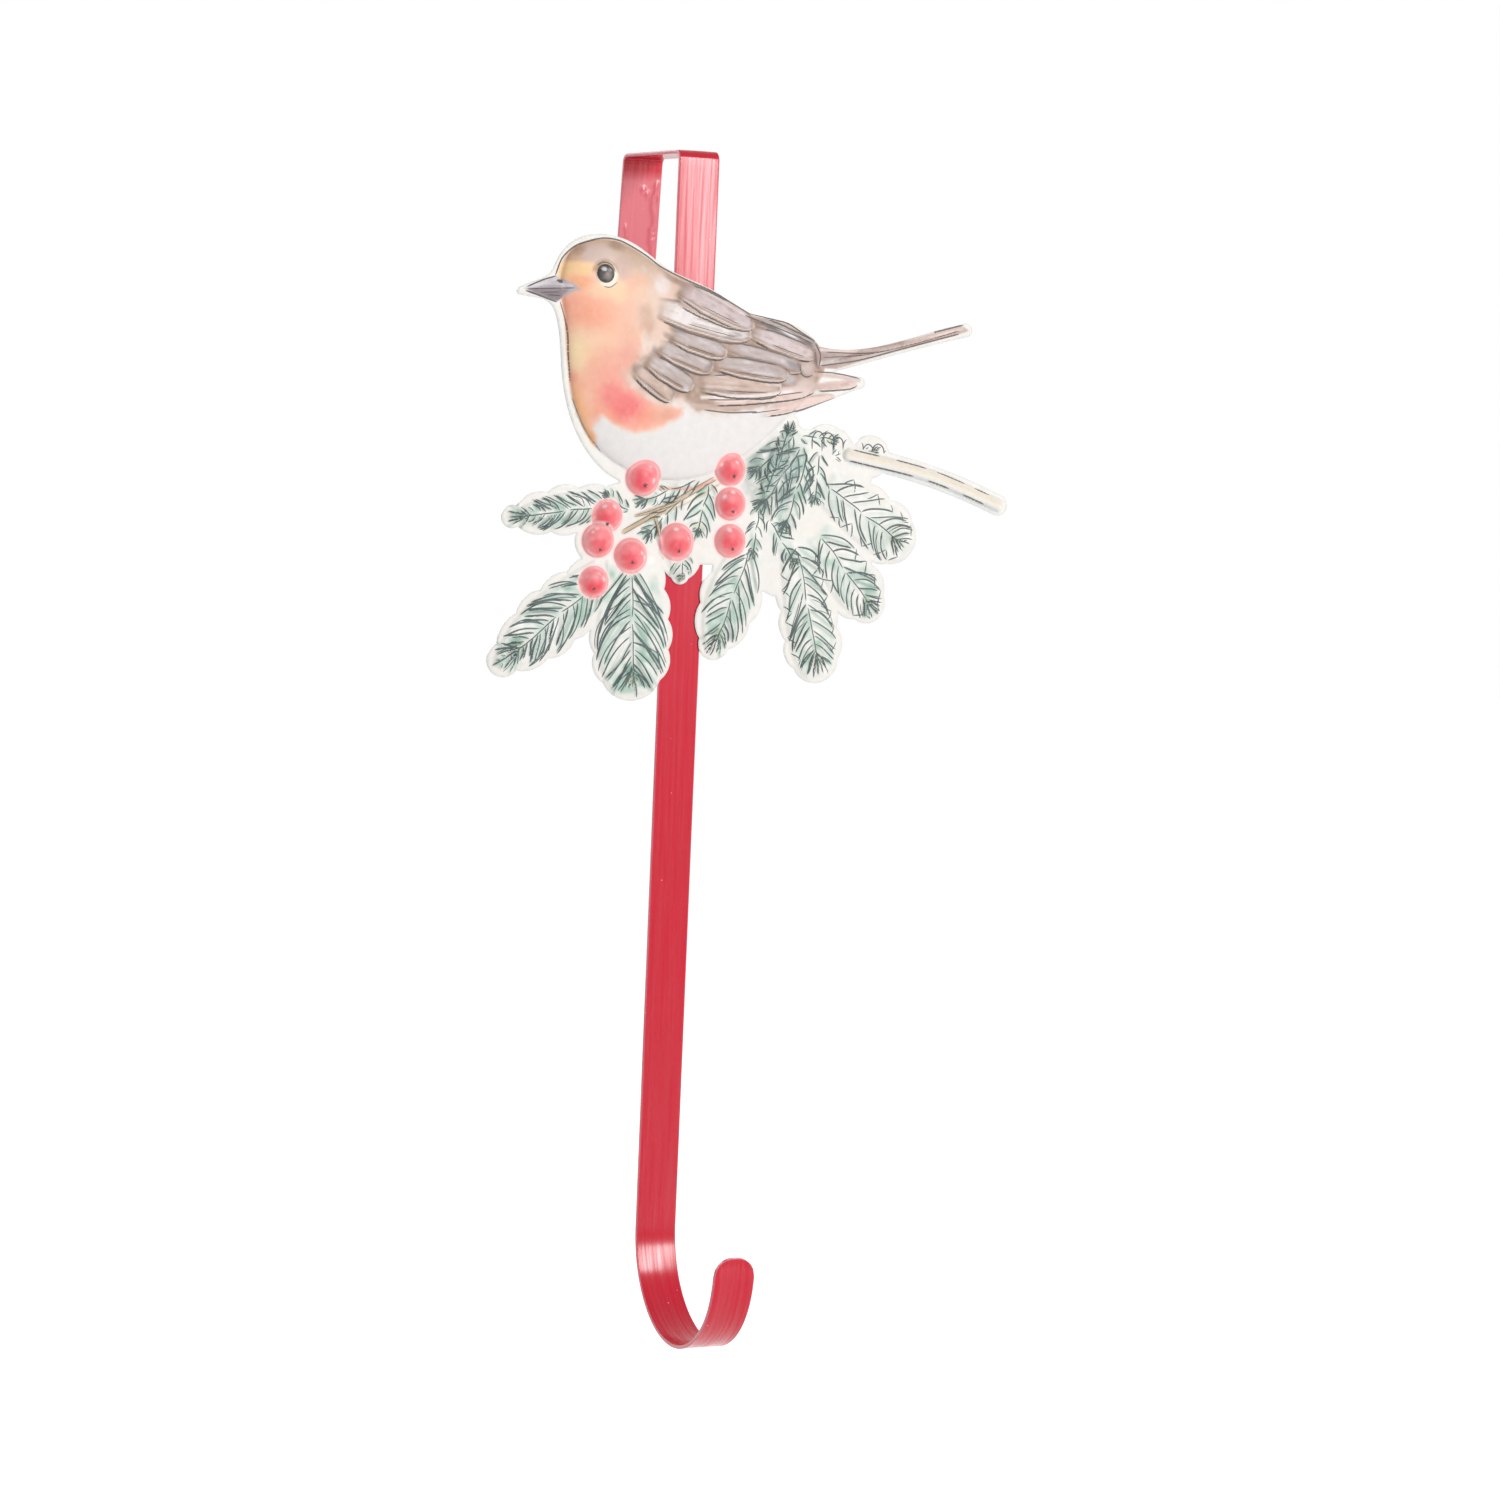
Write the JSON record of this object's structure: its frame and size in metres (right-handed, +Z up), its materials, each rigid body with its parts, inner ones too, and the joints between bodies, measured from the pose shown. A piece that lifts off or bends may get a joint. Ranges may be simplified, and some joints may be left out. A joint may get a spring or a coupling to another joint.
{
  "type": "wreath hanger",
  "caption": "Painted steel strip that hooks over a door, with a forward hook for a wreath and a pressed tin robin and fir plaque on its front.",
  "frame": {"origin": "middle of the underside of the top bar, where it rests on the door", "axes": "+Z up, -Y out of the front of the door, +X to the right of someone who looks at the front"},
  "size_m": [0.186, 0.1167, 0.3869],
  "materials": {
    "red_paint": "satin",
    "printed_tin": "satin",
    "solder": "dull"
  },
  "bodies": {
    "root": {"hanger_strip": "red_paint", "robin_plaque": "printed_tin", "solder_seams": "solder"}
  },
  "joints": []
}
